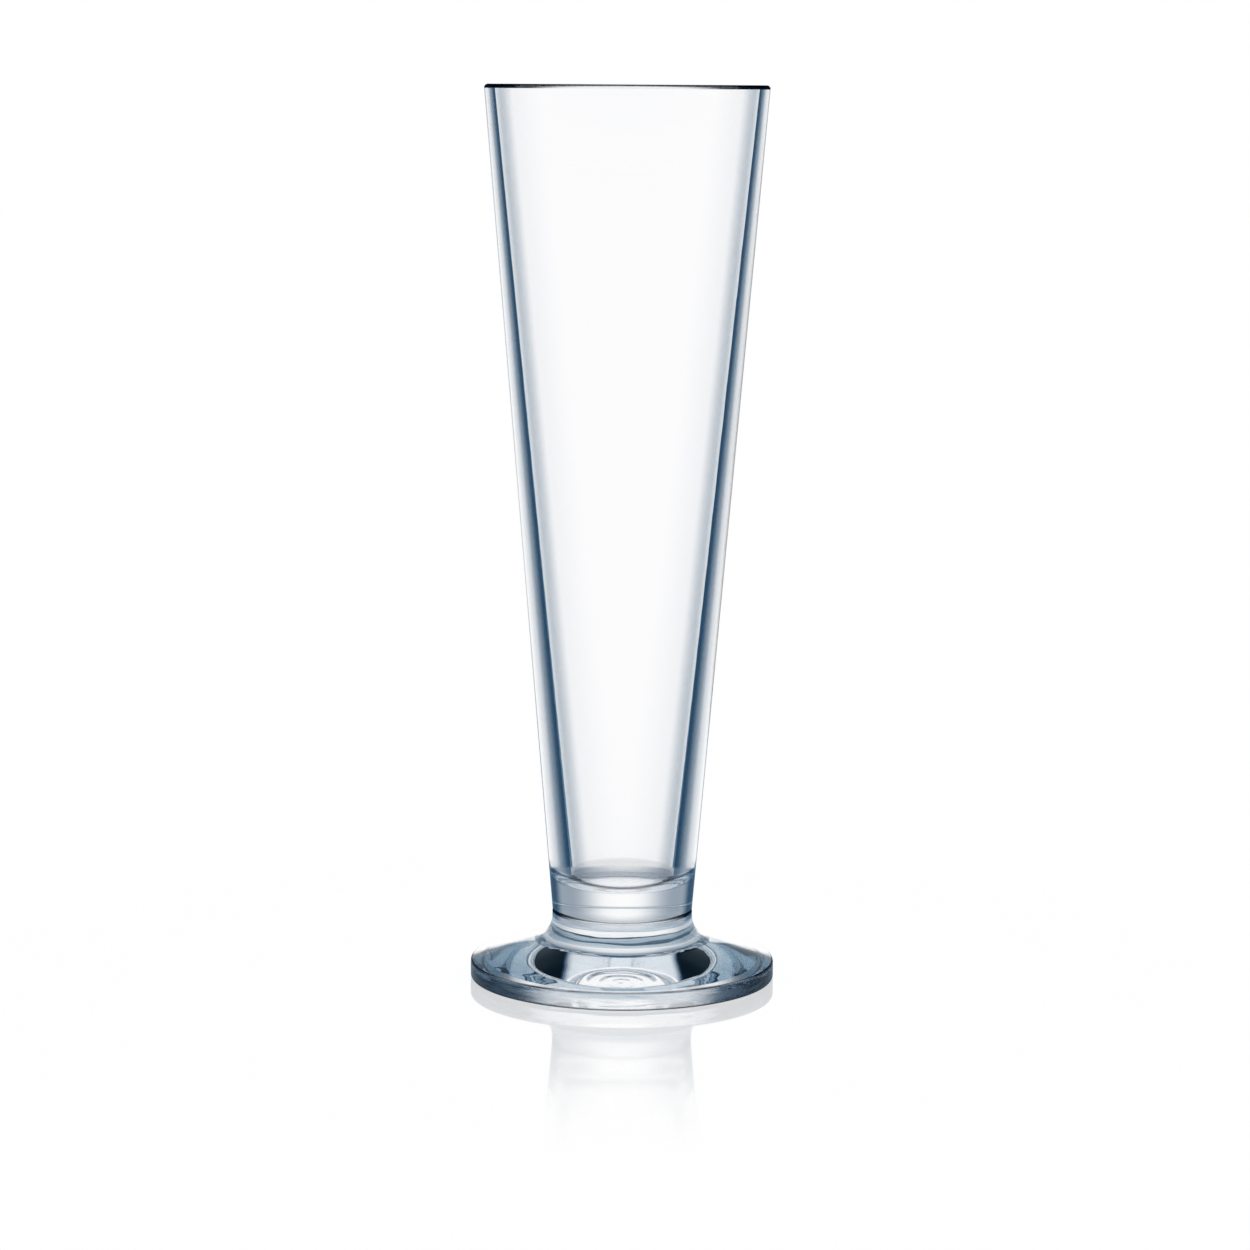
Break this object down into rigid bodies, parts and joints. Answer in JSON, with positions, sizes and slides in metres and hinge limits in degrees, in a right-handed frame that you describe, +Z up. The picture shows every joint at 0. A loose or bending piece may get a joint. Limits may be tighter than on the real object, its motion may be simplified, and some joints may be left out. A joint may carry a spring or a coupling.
{
  "type": "pilsner glass",
  "caption": "Tall clear footed beer glass: a tapered thick-walled bowl with a solid base, joined at a seam to a solid flared foot.",
  "frame": {"origin": "centre of the foot's underside, on the surface that the glass stands on", "axes": "+Z up along the axis of the glass, from the foot to the rim; X and Y are alike, because every piece is round"},
  "size_m": [0.0822, 0.0822, 0.24],
  "materials": {
    "bowl_clear": "clear, polished",
    "foot_clear": "clear, polished"
  },
  "bodies": {
    "root": {"bowl": "bowl_clear", "foot": "foot_clear"}
  },
  "joints": []
}
